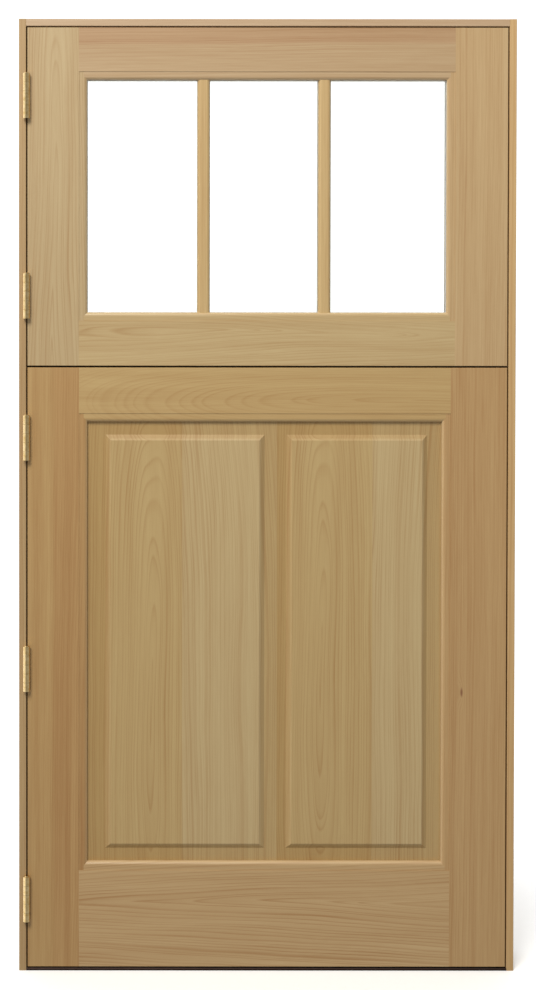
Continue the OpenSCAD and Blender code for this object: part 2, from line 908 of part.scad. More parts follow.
hinge_jamb();
latch_jamb();
head_jamb();
threshold();
hinge_side_stop();
latch_side_stop();
head_stop();
hinge_side_seal();
latch_side_seal();
head_seal();
frame_screws();
threshold_screws();
jamb_hinge_screws();
upper_hinge_stile();
upper_latch_stile();
upper_top_rail();
upper_bottom_rail();
glazing_bar(0);  // left_glazing_bar
glazing_bar(1);  // right_glazing_bar
front_pane(0);  // left_front_pane
front_pane(1);  // middle_front_pane
front_pane(2);  // right_front_pane
back_pane(0);  // left_back_pane
back_pane(1);  // middle_back_pane
back_pane(2);  // right_back_pane
spacer(0);  // left_spacer
spacer(1);  // middle_spacer
spacer(2);  // right_spacer
setting_blocks();
beads(0);  // left_beads
beads(1);  // middle_beads
beads(2);  // right_beads
upper_dowels();
leaf_hinge_screws(upper_hinges);  // upper_hinge_screws
lower_hinge_stile();
lower_latch_stile();
lower_top_rail();
lower_bottom_rail();
lower_panel();
lower_dowels();
leaf_hinge_screws(lower_hinges);  // lower_hinge_screws
meeting_seal();
jamb_plate(0);  // hinge_1_jamb_plate
jamb_plate(1);  // hinge_2_jamb_plate
jamb_plate(2);  // hinge_3_jamb_plate
jamb_plate(3);  // hinge_4_jamb_plate
jamb_plate(4);  // hinge_5_jamb_plate
leaf_plate(0);  // hinge_1_leaf_plate
leaf_plate(1);  // hinge_2_leaf_plate
leaf_plate(2);  // hinge_3_leaf_plate
leaf_plate(3);  // hinge_4_leaf_plate
leaf_plate(4);  // hinge_5_leaf_plate
hinge_pin(0);  // hinge_1_pin
hinge_pin(1);  // hinge_2_pin
hinge_pin(2);  // hinge_3_pin
hinge_pin(3);  // hinge_4_pin
hinge_pin(4);  // hinge_5_pin
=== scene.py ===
"""Finish and studio for a dutch stable door: clear-varnished boards, brass butt hinges,
double glazing and a soft daylight studio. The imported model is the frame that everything
here is fitted to. Lengths are metres, X runs from the hinge side to the latch side, Y from
the front to the back and Z up."""
import math
from collections import namedtuple

import bpy
import numpy as np
from bpy.props import FloatProperty, FloatVectorProperty, PointerProperty
from bpy.types import Operator, Panel, PropertyGroup
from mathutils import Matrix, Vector


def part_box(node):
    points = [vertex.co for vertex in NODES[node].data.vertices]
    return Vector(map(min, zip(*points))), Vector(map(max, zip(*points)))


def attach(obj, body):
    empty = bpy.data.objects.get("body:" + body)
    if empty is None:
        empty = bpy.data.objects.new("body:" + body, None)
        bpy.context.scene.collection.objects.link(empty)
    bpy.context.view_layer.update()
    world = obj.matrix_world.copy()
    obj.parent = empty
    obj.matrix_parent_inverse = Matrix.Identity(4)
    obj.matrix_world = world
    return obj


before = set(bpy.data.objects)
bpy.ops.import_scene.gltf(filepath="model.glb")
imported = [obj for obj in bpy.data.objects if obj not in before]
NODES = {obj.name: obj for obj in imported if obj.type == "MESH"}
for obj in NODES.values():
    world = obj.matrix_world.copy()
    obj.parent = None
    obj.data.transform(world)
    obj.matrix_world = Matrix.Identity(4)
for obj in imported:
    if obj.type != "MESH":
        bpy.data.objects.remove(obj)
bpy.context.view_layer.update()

bl_info = {
    "name": "Stable Door Finish",
    "version": (1, 0, 0),
    "blender": (4, 5, 0),
    "location": "3D View > Sidebar > Stable Door",
    "description": "Dresses a dutch stable door in varnished wood, brass and glass",
    "category": "Object",
}

MM = 0.001
# The leaves' front face and the middle of their thickness
FRONT_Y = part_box("upper_hinge_stile")[0][1]
LEAF_MID_Y = (FRONT_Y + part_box("upper_hinge_stile")[1][1]) / 2


# Small tools

def linear(code):
    """Linear RGBA of an sRGB hex colour."""
    srgb = [int(code[i:i + 2], 16) / 255 for i in (1, 3, 5)]
    return tuple(c / 12.92 if c <= 0.04045 else ((c + 0.055) / 1.055) ** 2.4 for c in srgb) + (1.0,)


def colour(name, code, description):
    """A colour property with an sRGB hex default."""
    return FloatVectorProperty(
        name=name, description=description, default=linear(code), size=4, min=0, max=1, subtype="COLOR")


def length(name, millimetres, description):
    """A length property in metres, its default given in millimetres."""
    return FloatProperty(name=name, description=description, default=millimetres * MM, unit="LENGTH")


def share(name, value, description):
    """A property between 0 and 1."""
    return FloatProperty(name=name, description=description, default=value, min=0, max=1, subtype="FACTOR")


def angle(name, degrees, description):
    """An angle property, its default given in degrees."""
    return FloatProperty(name=name, description=description, default=math.radians(degrees), subtype="ANGLE")


def amount(name, value, description):
    """A plain positive number."""
    return FloatProperty(name=name, description=description, default=value, min=0)


def node(tree, kind, inputs=None, stops=None, **settings):
    """Adds a shader node: its settings, the stops of its ramp, and for each open input, by
    name or by place, a value or the node or socket that is linked to it."""
    made = tree.nodes.new(kind)
    for key, value in settings.items():
        setattr(made, key, value)
    for i, (place, value) in enumerate(stops or ()):
        ramp = made.color_ramp.elements
        stop = ramp[i] if i < len(ramp) else ramp.new(place)
        stop.position, stop.color = place, value
    opened = [s for s in made.inputs if s.enabled]
    for key, value in (inputs or {}).items():
        socket = opened[key] if isinstance(key, int) else next(s for s in opened if s.name == key)
        if isinstance(value, bpy.types.Node):
            value = next(s for s in value.outputs if s.enabled)
        if isinstance(value, bpy.types.NodeSocket):
            tree.links.new(value, socket)
        else:
            socket.default_value = value
    return made


def grey(value):
    """A neutral ramp colour."""
    return (value, value, value, 1.0)


def repeats(*sizes):
    """Pattern scale along each axis, in repeats a metre, from sizes in millimetres."""
    return [1 / (size * MM) for size in sizes]


def blank(name):
    """A material with an empty node tree."""
    material = bpy.data.materials.new(name)
    material.use_nodes = True
    material.node_tree.nodes.clear()
    return material, material.node_tree


def shade(tree, inputs):
    """Ends a material with the standard surface shader."""
    surface = node(tree, "ShaderNodeBsdfPrincipled", inputs)
    node(tree, "ShaderNodeOutputMaterial", {"Surface": surface})


def wear(material, names):
    """Puts a material in every slot of the named CAD nodes."""
    for name in names:
        for slot in NODES[name].material_slots:
            slot.material = material


def nodes_named(*parts):
    """The CAD nodes whose names hold any of the given words."""
    return sorted(n for n in NODES if any(part in n for part in parts))


def solid(name, points, quads, material, body):
    """Makes a closed piece from arrays of points and of four-cornered faces, turns its faces
    outwards if the volume that they enclose is negative, and lets it ride on a body."""
    a, b, c, d = (points[quads[:, i]] for i in range(4))
    volume = (np.cross(b, c) * a).sum() + (np.cross(c, d) * a).sum()
    if volume < 0:
        quads = quads[:, ::-1]
    mesh = bpy.data.meshes.new(name)
    mesh.from_pydata(points.tolist(), [], [list(dict.fromkeys(q)) for q in quads.tolist()])
    mesh.update()
    mesh.shade_smooth()
    piece = bpy.data.objects.new(name, mesh)
    bpy.context.scene.collection.objects.link(piece)
    mesh.materials.append(material)
    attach(piece, body)
    return piece


# Wood. A board is sawn from a log whose rings are drawn in three dimensions. Their distance
# from a pith line behind the board's face gives straight grain beside the line, nested
# flames over it and curved rings on the board's ends.

Board = namedtuple(
    "Board", "nodes along pith depth middle slope bow ring lines streaks fibres sway heart blush",
    defaults=(0.004, 0.0, 4.5, 0.19, 0.55, 0.42, 8.0, None, 1.0))

# For each board: the nodes that it covers, the axis of its grain, the pith's place across
# it (m), the pith's depth behind its face (mm), the middle of its figure along it (m), the
# rings' slope along the grain, the bow of the pith away from the face (per m), the width
# of a ring (mm), the strength of late wood lines, broad streaks and fibres, the sway of
# the rings (mm), how far from the pith the heart wood reaches, where it shows (mm), and how
# strongly it colours the wood.
BOARDS = {
    "hinge_jamb": Board(["hinge_jamb", "hinge_side_stop"], "Z", -0.70, 60, 1.0),
    "latch_jamb": Board(["latch_jamb", "latch_side_stop"], "Z", 0.70, 60, 1.0),
    "head_jamb": Board(["head_jamb", "head_stop"], "X", 2.25, 50, 0.0),
    "upper_hinge_stile": Board(
        ["upper_hinge_stile"], "Z", -0.448, 20, 1.60, slope=0.03, bow=0.06, ring=8, lines=0.26,
        streaks=0.5, fibres=0.32, sway=24),
    "upper_latch_stile": Board(["upper_latch_stile"], "Z", 0.60, 45, 1.7, slope=0.01),
    "upper_top_rail": Board(
        ["upper_top_rail"], "X", 2.15, 40, 0.0, slope=0.01, heart=96, blush=0.5),
    "upper_bottom_rail": Board(
        ["upper_bottom_rail"], "X", 1.40, 22, 0.1, slope=0.05, bow=0.10, ring=6, lines=0.22,
        streaks=0.5, fibres=0.36, sway=26),
    "glazing_bars": Board(nodes_named("glazing_bar", "beads"), "Z", -0.9, 80, 1.7, streaks=0.5),
    "lower_hinge_stile": Board(
        ["lower_hinge_stile"], "Z", -0.38, 60, 0.7, slope=0.01, streaks=0.7, heart=102, blush=0.3),
    "lower_latch_stile": Board(["lower_latch_stile"], "Z", 0.62, 50, 0.7, slope=0.01, streaks=0.7),
    "lower_top_rail": Board(
        ["lower_top_rail"], "X", 1.262, 14, 0.39, slope=0.0, bow=0.14, ring=5, lines=0.16,
        streaks=0.5, fibres=0.36, sway=12),
    "lower_bottom_rail": Board(
        ["lower_bottom_rail"], "X", 0.130, 20, 0.15, slope=-0.06, ring=8, lines=0.34,
        streaks=0.5, fibres=0.34, sway=22),
    "dowels": Board(["upper_dowels", "lower_dowels"], "X", 0.0, 200, 0.0, ring=3, fibres=0.4),
}
PANEL_BOARD = Board(
    ["lower_panel"], "Z", 0.0, 24, 0.0, slope=0.0, bow=0.16, ring=7, lines=0.25, streaks=0.45,
    fibres=0.27, sway=18)
# The panel's boards from the hinge side on: where the pith lies (m), whether the board is a
# plain pale one, and the height of its figure's middle (m)
PANEL_BOARDS = [(-0.236, 0, 0.62), (-0.42, 1, 0.30), (0.1425, 0, 0.70), (0.62, 1, 0.50)]
# The first board's hinge-side edge (m)
PANEL_START = -0.401
# A small dark knot in the lower latch stile: its place on the face (m)
KNOT = (0.4343, 0.6245)
# How far it pushes the rings aside (mm), and in its own radii how far round it they give way,
# and where its core begins and is full
KNOT_PUSH, KNOT_REACH, KNOT_CORE = 8, 4.5, (1.3, 0.3)
# Size of each pattern in the wood, across and along the grain (mm). The fibres are drawn
# coarser than real, so that they show.
SWAY_SIZE = (111.1111, 625)
FAINT_SIZE = (71.42857, 333.3333)
STREAK_SIZE = (20.83333, 1111.111)
FIBRE_SIZE = (2.083333, 90.90909)
# A ring darkens slowly to its late wood and ends sharply
RING_TONES = [(0.0, 0.0), (0.5, 0.2), (0.82, 1.0), (1.0, 0.0)]
# How many rings the uneven years crowd or spread by, and how often in a ring's width
UNEVEN_RINGS, UNEVEN_PACE = 2.5, 0.45
# About the mean tone of every board, whatever its patterns' strength
MEAN_TONE = 0.45
# Half the width of the heart wood's soft edge (mm)
HEART_EDGE = 5
# From which depth under the leaf's face (mm) the mouldings' painted highlight, and the panel
# margins' painted shade, begin, and at which they are full
MOULDING_HIGHLIGHT_DEPTHS = (1.8, 5)
MARGIN_SHADE_DEPTHS = (5, 9)


class StableDoorTimber(PropertyGroup):
    """Colours and figure of the wood."""
    hinge_jamb: colour("Hinge jamb", "#BFA578", "Varnished colour of the jamb and stop on the hinge side")
    latch_jamb: colour("Latch jamb", "#D5B681", "Varnished colour of the jamb and stop on the latch side")
    head_jamb: colour("Head jamb", "#CCB595", "Varnished colour of the head and its stop")
    upper_hinge_stile: colour("Upper hinge stile", "#C5B187", "Varnished colour of this board")
    upper_latch_stile: colour("Upper latch stile", "#CBB184", "Varnished colour of this board")
    upper_top_rail: colour("Upper top rail", "#C4AC86", "Varnished colour of this board")
    upper_bottom_rail: colour("Upper bottom rail", "#CBB687", "Varnished colour of this board")
    glazing_bars: colour("Glazing bars and beads", "#D4BB86", "Varnished colour of the bars and beads")
    lower_hinge_stile: colour("Lower hinge stile", "#C0A06A", "Varnished colour of this board")
    lower_latch_stile: colour("Lower latch stile", "#C4A472", "Varnished colour of this board")
    lower_top_rail: colour("Lower top rail", "#C8AE78", "Varnished colour of this board")
    lower_bottom_rail: colour("Lower bottom rail", "#C8AB7C", "Varnished colour of this board")
    panel_warm: colour("Panel, figured boards", "#C6AE79", "Varnished colour of the panel's figured boards")
    panel_pale: colour("Panel, plain boards", "#CAB687", "Varnished colour of the panel's plain boards")
    dowels: colour("Dowels", "#D9B98A", "Colour of the dowels")
    late_wood: colour("Late wood", "#C8A883", "What the end of a ring's growth does to the colour")
    heart_wood: colour("Heart wood", "#EFD9CE", "What heart wood does to a board's colour")
    knot: colour("Knot", "#7A4A2C", "Colour of the small knot")
    knot_strength: share("Knot strength", 0.8, "How far the knot's core takes that colour")
    # Painted highlight: a paler tone that stands in for the light the rounded mouldings catch
    moulding_highlight: colour("Burnished wood", "#F6DDB0", "What the moulding cutter's rub turns wood towards")
    moulding_highlight_share: share("Burnish", 0.32, "How far it does")
    # Painted shade: what the recess's shade does to the panel's sunk margins
    margin_shade: colour("Sunk margin", "#F1E9DA", "What thicker varnish does to the panel's margins")
    gloss: share("Varnish gloss", 0.25, "Weight of the clear coat over the wood")
    panel_board: length("Panel board", 212, "Width of the boards that the panel is glued up from")
    knot_width: length("Knot width", 6, "Width of the small knot in the lower latch stile")
    knot_height: length("Knot height", 22, "Height of the small knot in the lower latch stile")


def timber(tree, log, body, board, looks, swell=None):
    """Colour and tone of sawn wood. log holds a point across, into and along the board, in
    metres from the figure's middle on the pith line. A ring is where the distance from the
    pith line, which bows away as the square of the way along, plus a slope times the way
    along, is the same. swell pushes the rings aside round a knot."""
    def sized(size, vector):
        """The vector in units of a pattern's size across and along the grain."""
        across, along = size
        return node(tree, "ShaderNodeMapping", {
            "Vector": vector, "Scale": repeats(across, across, along)})

    waves = sized(SWAY_SIZE, log)
    sway = node(tree, "ShaderNodeTexNoise", {"Vector": waves, "Scale": 1, "Detail": 2, "Roughness": 0.45})
    bent = node(tree, "ShaderNodeVectorMath", {
        0: sway.outputs["Color"], 1: (2 * board.sway * MM,) * 3, 2: log}, operation="MULTIPLY_ADD")
    part = node(tree, "ShaderNodeSeparateXYZ", {0: bent})
    square = node(tree, "ShaderNodeMath", {0: part.outputs["Z"], 1: 2}, operation="POWER")
    deep = node(tree, "ShaderNodeMath", {
        0: square, 1: -board.bow, 2: part.outputs["Y"]}, operation="MULTIPLY_ADD")
    flat = node(tree, "ShaderNodeCombineXYZ", {"X": part.outputs["X"], "Y": deep})
    radius = node(tree, "ShaderNodeVectorMath", {0: flat}, operation="LENGTH")
    if swell:
        radius = node(tree, "ShaderNodeMath", {
            0: swell, 1: KNOT_PUSH * MM, 2: radius}, operation="MULTIPLY_ADD")
    sloped = node(tree, "ShaderNodeMath", {
        0: part.outputs["Z"], 1: board.slope, 2: radius}, operation="MULTIPLY_ADD")
    years = node(tree, "ShaderNodeMath", {0: sloped, 1: 1 / (board.ring * MM)}, operation="MULTIPLY")
    spread = node(tree, "ShaderNodeTexNoise", {
        "W": years, "Scale": UNEVEN_PACE, "Detail": 1}, noise_dimensions="1D")
    uneven = node(tree, "ShaderNodeMath", {
        0: spread, 1: UNEVEN_RINGS, 2: years}, operation="MULTIPLY_ADD")
    phase = node(tree, "ShaderNodeMath", {0: uneven}, operation="FRACT")
    ring = node(tree, "ShaderNodeValToRGB", {0: phase}, stops=[
        (place, grey(tone)) for place, tone in RING_TONES])
    patch = sized(FAINT_SIZE, log)
    faint = node(tree, "ShaderNodeTexNoise", {"Vector": patch, "Scale": 1, "Detail": 1})
    lines = node(tree, "ShaderNodeMath", {0: ring, 1: faint}, operation="MULTIPLY")
    broad = sized(STREAK_SIZE, bent)
    streak = node(tree, "ShaderNodeTexNoise", {"Vector": broad, "Scale": 1, "Detail": 2})
    fine = sized(FIBRE_SIZE, bent)
    fibre = node(tree, "ShaderNodeTexNoise", {"Vector": fine, "Scale": 1, "Detail": 2, "Roughness": 0.6})
    # About half of each pattern's strength is taken off, so a stronger figure is no darker
    rest = MEAN_TONE - 0.5 * (board.streaks + board.fibres + board.lines)
    tone = node(tree, "ShaderNodeMath", {0: lines, 1: 2 * board.lines, 2: rest}, operation="MULTIPLY_ADD")
    tone = node(tree, "ShaderNodeMath", {0: streak, 1: board.streaks, 2: tone}, operation="MULTIPLY_ADD")
    tone = node(tree, "ShaderNodeMath", {
        0: fibre, 1: board.fibres, 2: tone}, operation="MULTIPLY_ADD", use_clamp=True)
    wood = node(tree, "ShaderNodeMix", {
        "Factor": tone, "A": body, "B": looks.late_wood}, data_type="RGBA", blend_type="MULTIPLY")
    if board.heart:
        inside = node(tree, "ShaderNodeMapRange", {
            "Value": radius, "From Min": (board.heart + HEART_EDGE) * MM,
            "From Max": (board.heart - HEART_EDGE) * MM, "To Max": board.blush},
            interpolation_type="SMOOTHSTEP")
        wood = node(tree, "ShaderNodeMix", {
            "Factor": inside, "A": wood, "B": looks.heart_wood}, data_type="RGBA", blend_type="MULTIPLY")
    return wood, tone


def sunk(tree, here, depths):
    """How far a point lies below the leaf's nearer face: 0 at the first depth (mm), 1 at the
    second."""
    shallow, deep = depths
    part = node(tree, "ShaderNodeSeparateXYZ", {0: here})
    off = node(tree, "ShaderNodeMath", {0: part.outputs["Y"], 1: LEAF_MID_Y}, operation="SUBTRACT")
    off = node(tree, "ShaderNodeMath", {0: off}, operation="ABSOLUTE")
    half = LEAF_MID_Y - FRONT_Y
    return node(tree, "ShaderNodeMapRange", {
        "Value": off, "From Min": half - shallow * MM, "From Max": half - deep * MM},
        interpolation_type="SMOOTHSTEP")


def varnish(tree, wood, tone, gloss):
    """Clear satin varnish: a soft sheen over wood whose pores still roughen it a little."""
    rough = node(tree, "ShaderNodeMapRange", {"Value": tone, "To Min": 0.42, "To Max": 0.55})
    grain = node(tree, "ShaderNodeBump", {"Height": tone, "Strength": 0.15, "Distance": 0.15 * MM})
    shade(tree, {
        "Base Color": wood, "Roughness": rough, "Normal": grain, "IOR": 1.5,
        "Coat Weight": gloss, "Coat Roughness": 0.22})


def varnished_board(name, board, looks):
    """Varnished alder, planed and sanded: warm, low in contrast, with fine late wood lines."""
    material, tree = blank("varnished_alder_" + name)
    here = node(tree, "ShaderNodeTexCoord").outputs["Object"]
    deep = -(FRONT_Y + board.depth * MM)
    if board.along == "Z":
        turn, move = (0, 0, 0), (-board.pith, deep, -board.middle)
    else:
        turn, move = (0, -math.pi / 2, 0), (board.pith, deep, -board.middle)
    log = node(tree, "ShaderNodeMapping", {"Vector": here, "Rotation": turn, "Location": move})
    swell = None
    if name == "lower_latch_stile":
        size = (2 / looks.knot_width, 0, 2 / looks.knot_height)
        move = (-KNOT[0] * size[0], 0, -KNOT[1] * size[2])
        place = node(tree, "ShaderNodeMapping", {"Vector": here, "Scale": size, "Location": move})
        away = node(tree, "ShaderNodeVectorMath", {0: place}, operation="LENGTH")
        swell = node(tree, "ShaderNodeMapRange", {
            "Value": away, "From Min": KNOT_REACH, "From Max": 0}, interpolation_type="SMOOTHSTEP")
    wood, tone = timber(tree, log, getattr(looks, name), board, looks, swell)
    if swell:
        core = node(tree, "ShaderNodeMapRange", {
            "Value": away, "From Min": KNOT_CORE[0], "From Max": KNOT_CORE[1],
            "To Max": looks.knot_strength}, interpolation_type="SMOOTHSTEP")
        wood = node(tree, "ShaderNodeMix", {"Factor": core, "A": wood, "B": looks.knot}, data_type="RGBA")
    if name.startswith(("upper", "lower")):
        # Painted highlight: the mouldings are painted paler than the flat faces, for the light that their
        # rounded faces catch
        painted_highlight = sunk(tree, here, MOULDING_HIGHLIGHT_DEPTHS)
        painted_highlight = node(tree, "ShaderNodeMath", {0: painted_highlight, 1: looks.moulding_highlight_share}, operation="MULTIPLY")
        wood = node(tree, "ShaderNodeMix", {"Factor": painted_highlight, "A": wood, "B": looks.moulding_highlight}, data_type="RGBA")
    varnish(tree, wood, tone, looks.gloss)
    wear(material, board.nodes)


def glued_panel(looks):
    """Varnished alder boards glued edge to edge: figured and plain boards by turns. The
    place across the panel picks a board, and with it where that board's pith lies."""
    material, tree = blank("varnished_alder_glued_panel")
    here = node(tree, "ShaderNodeTexCoord").outputs["Object"]
    across = node(tree, "ShaderNodeSeparateXYZ", {0: here})
    count = len(PANEL_BOARDS)
    place = node(tree, "ShaderNodeMapRange", {
        "Value": across, "From Min": PANEL_START, "From Max": PANEL_START + count * looks.panel_board})
    # The ramp holds no negative colour, so the pith's place is carried as (1 + place) / 2
    picked = node(tree, "ShaderNodeValToRGB", {0: place}, stops=[
        (i / count, ((1 + pith) / 2, plain, middle, 1))
        for i, (pith, plain, middle) in enumerate(PANEL_BOARDS)])
    picked.color_ramp.interpolation = "CONSTANT"
    offset = node(tree, "ShaderNodeVectorMath", {
        0: picked.outputs["Color"], 1: (-2, 0, -1), 2: (1, -(FRONT_Y + PANEL_BOARD.depth * MM), 0)},
        operation="MULTIPLY_ADD")
    log = node(tree, "ShaderNodeVectorMath", {0: here, 1: offset}, operation="ADD")
    plain = node(tree, "ShaderNodeSeparateColor", {0: picked.outputs["Color"]}).outputs["Green"]
    body = node(tree, "ShaderNodeMix", {
        "Factor": plain, "A": looks.panel_warm, "B": looks.panel_pale}, data_type="RGBA")
    wood, tone = timber(tree, log, body, PANEL_BOARD, looks)
    # Painted shade: the sunk margins are darkened and warmed, for the shade and warm bounced light inside the
    # recess
    shaded_margin = sunk(tree, here, MARGIN_SHADE_DEPTHS)
    wood = node(tree, "ShaderNodeMix", {
        "Factor": shaded_margin, "A": wood, "B": looks.margin_shade}, data_type="RGBA", blend_type="MULTIPLY")
    varnish(tree, wood, tone, looks.gloss)
    wear(material, PANEL_BOARD.nodes)


class STABLEDOOR_OT_frame(Operator):
    """Varnish the jambs, the head and the stops"""
    bl_idname = "stabledoor.frame"
    bl_label = "Varnish Frame"

    def execute(self, context):
        looks = context.scene.stable_door_timber
        for name in ("hinge_jamb", "latch_jamb", "head_jamb"):
            varnished_board(name, BOARDS[name], looks)
        return {"FINISHED"}


class STABLEDOOR_OT_upper_leaf(Operator):
    """Varnish the upper leaf with its glazing bars and beads, and both leaves' dowels"""
    bl_idname = "stabledoor.upper_leaf"
    bl_label = "Varnish Upper Leaf"

    def execute(self, context):
        looks = context.scene.stable_door_timber
        for name in ("upper_hinge_stile", "upper_latch_stile", "upper_top_rail", "upper_bottom_rail",
                     "glazing_bars", "dowels"):
            varnished_board(name, BOARDS[name], looks)
        return {"FINISHED"}


class STABLEDOOR_OT_lower_leaf(Operator):
    """Varnish the lower leaf and its glued-up panel"""
    bl_idname = "stabledoor.lower_leaf"
    bl_label = "Varnish Lower Leaf"

    def execute(self, context):
        looks = context.scene.stable_door_timber
        for name in ("lower_hinge_stile", "lower_latch_stile", "lower_top_rail", "lower_bottom_rail"):
            varnished_board(name, BOARDS[name], looks)
        glued_panel(looks)
        return {"FINISHED"}


# Glass and what keeps it

class StableDoorGlazing(PropertyGroup):
    """The glass units."""
    tint: colour("Glass tint", "#FDFFFE", "Tint of the clear float glass")
    spacer: colour("Spacer", "#C9CDD2", "Colour of the aluminium spacer")
    sealant: colour("Sealant", "#D9D7D0", "Colour of the cured silicone")
    fillet: length("Sealant fillet", 0.6, "Width of the sealant line between glass and wood")


def float_glass(looks):
    """Float glass, fire-polished: clear, smooth, faintly green at its edges."""
    material, tree = blank("clear_float_glass")
    shade(tree, {"Base Color": looks.tint, "Roughness": 0.0, "IOR": 1.52, "Transmission Weight": 1.0})
    return material


def mill_aluminium(looks):
    """Rolled aluminium: pale grey, with fine drawn lines that soften its shine."""
    material, tree = blank("rolled_aluminium")
    here = node(tree, "ShaderNodeTexCoord").outputs["Object"]
    lines = node(tree, "ShaderNodeMapping", {"Vector": here, "Scale": repeats(3.333333, 1.111111, 3.333333)})
    drawn = node(tree, "ShaderNodeTexNoise", {"Vector": lines, "Scale": 1, "Detail": 2})
    rough = node(tree, "ShaderNodeMapRange", {"Value": drawn, "To Min": 0.3, "To Max": 0.5})
    shade(tree, {"Base Color": looks.spacer, "Metallic": 1.0, "Roughness": rough})
    return material


def cured_silicone(looks):
    """Clear silicone, tooled while wet: milky, with a soft gloss."""
    material, tree = blank("tooled_silicone")
    here = node(tree, "ShaderNodeTexCoord").outputs["Object"]
    cloud = node(tree, "ShaderNodeTexNoise", {"Vector": here, "Scale": 1 / (16.66667 * MM), "Detail": 1})
    rough = node(tree, "ShaderNodeMapRange", {"Value": cloud, "To Min": 0.25, "To Max": 0.4})
    shade(tree, {
        "Base Color": looks.sealant, "Roughness": rough, "IOR": 1.41,
        "Subsurface Weight": 0.3, "Subsurface Scale": 1 * MM, "Subsurface Radius": (1, 1, 1)})
    return material


# From a spacer's outer edge to the lite's sight line, and the sealant's hair of air, which
# keeps its faces off the glass and the wood
SPACER_RIM = 6 * MM
BED_OF_AIR = 0.02 * MM
# Points on the sealant's hollow face
FILLET_POINTS = 9


def sealant_line(name, lite, looks, material):
    """A sealant fillet round one lite. Its profile is a quarter circle hollowed out of the
    corner between glass and wood, carried round the lite's four corners, where each point
    moves in by its width along both sides."""
    (x0, _, z0), (x1, _, z1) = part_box(lite + "_spacer")
    x0, x1, z0, z1 = x0 + SPACER_RIM, x1 - SPACER_RIM, z0 + SPACER_RIM, z1 - SPACER_RIM
    glass_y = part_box(lite + "_front_pane")[0][1]
    turn = np.linspace(1.5 * np.pi, np.pi, FILLET_POINTS)
    inwards = np.concatenate([[0.0], looks.fillet * (1 + np.cos(turn))]) + BED_OF_AIR
    forwards = np.concatenate([[0.0], looks.fillet * (1 + np.sin(turn))]) + BED_OF_AIR
    corner = np.array([[x0, z0, 1, 1], [x1, z0, -1, 1], [x1, z1, -1, -1], [x0, z1, 1, -1]])
    xs = corner[:, 0, None] + corner[:, 2, None] * inwards
    zs = corner[:, 1, None] + corner[:, 3, None] * inwards
    ys = np.broadcast_to(glass_y - forwards, xs.shape)
    points = np.stack([xs, ys, zs], axis=-1).reshape(-1, 3)
    steps, n = len(corner), len(inwards)
    i, j = np.meshgrid(np.arange(steps), np.arange(n), indexing="ij")
    k, m = (i + 1) % steps, (j + 1) % n
    quads = np.stack([i * n + j, k * n + j, k * n + m, i * n + m], axis=-1).reshape(-1, 4)
    piece = solid(name, points, quads, material, "upper_leaf")
    piece.data.shade_flat()


class STABLEDOOR_OT_glazing(Operator):
    """Glaze the three lites: panes, spacers and sealant"""
    bl_idname = "stabledoor.glazing"
    bl_label = "Glaze Lites"

    def execute(self, context):
        looks = context.scene.stable_door_glazing
        wear(float_glass(looks), nodes_named("front_pane", "back_pane"))
        wear(mill_aluminium(looks), nodes_named("_spacer"))
        silicone = cured_silicone(looks)
        for lite in ("left", "middle", "right"):
            sealant_line(lite + "_sealant", lite, looks, silicone)
        return {"FINISHED"}


# Nail holes of the stops and beads, filled and sanded

# Rings and spokes of a filling's ball
BALL_RINGS, BALL_SPOKES = 7, 14
# How many nails hold an upright stop, the head stop and one level bead
STOP_NAILS, HEAD_NAILS, BEAD_NAILS = 6, 4, 3
# From the ends of a stop and of a bead to their outer nails, and from the bead's edge
STOP_END, BEAD_END, BEAD_EDGE = 120 * MM, 50 * MM, 5 * MM


def nail_fillings(name, places, facing, looks, body):
    """Filled nail holes: one flattened ball for each place, sunk by half, whose point at
    latitude v and longitude u lies r sin v from its axis and t cos v above the face."""
    v, u = np.meshgrid(
        np.linspace(0, np.pi, BALL_RINGS), np.arange(BALL_SPOKES) * 2 * np.pi / BALL_SPOKES, indexing="ij")
    r, t = looks.filling, looks.proud
    ball = np.stack([r * np.sin(v) * np.cos(u), t * np.cos(v), r * np.sin(v) * np.sin(u)], axis=-1)
    # The axis lies along Y, and is rolled over to face up or sideways
    ball = np.roll(ball, {"Y": 0, "Z": 1, "X": -1}[facing], axis=-1)
    rows, n = v.shape
    i, j = np.meshgrid(np.arange(rows - 1), np.arange(n), indexing="ij")
    m = (j + 1) % n
    # The first and the last row are poles, so all their corners are one point
    spot = np.arange(rows * n).reshape(rows, n)
    spot[0], spot[-1] = spot[0, 0], spot[-1, 0]
    quads = np.stack([spot[i, j], spot[i + 1, j], spot[i + 1, m], spot[i, m]], axis=-1).reshape(-1, 4)
    places = np.array(places)
    points = (places[:, None, None, :] + ball[None]).reshape(-1, 3)
    faces = (quads[None] + (np.arange(len(places)) * rows * n)[:, None, None]).reshape(-1, 4)
    used = np.unique(faces)
    faces = np.searchsorted(used, faces)
    solid(name, points[used], faces, wood_filler(looks), body)


def wood_filler(looks):
    """Oil putty, rubbed smooth: matt, a touch darker than the varnished wood round it."""
    material, tree = blank("rubbed_wood_putty")
    here = node(tree, "ShaderNodeTexCoord").outputs["Object"]
    grit = node(tree, "ShaderNodeTexNoise", {"Vector": here, "Scale": 1 / (0.6666667 * MM), "Detail": 2})
    tone = node(tree, "ShaderNodeMix", {
        "Factor": grit, "A": looks.putty, "B": looks.putty_grit}, data_type="RGBA")
    shade(tree, {"Base Color": tone, "Roughness": 0.6})
    return material


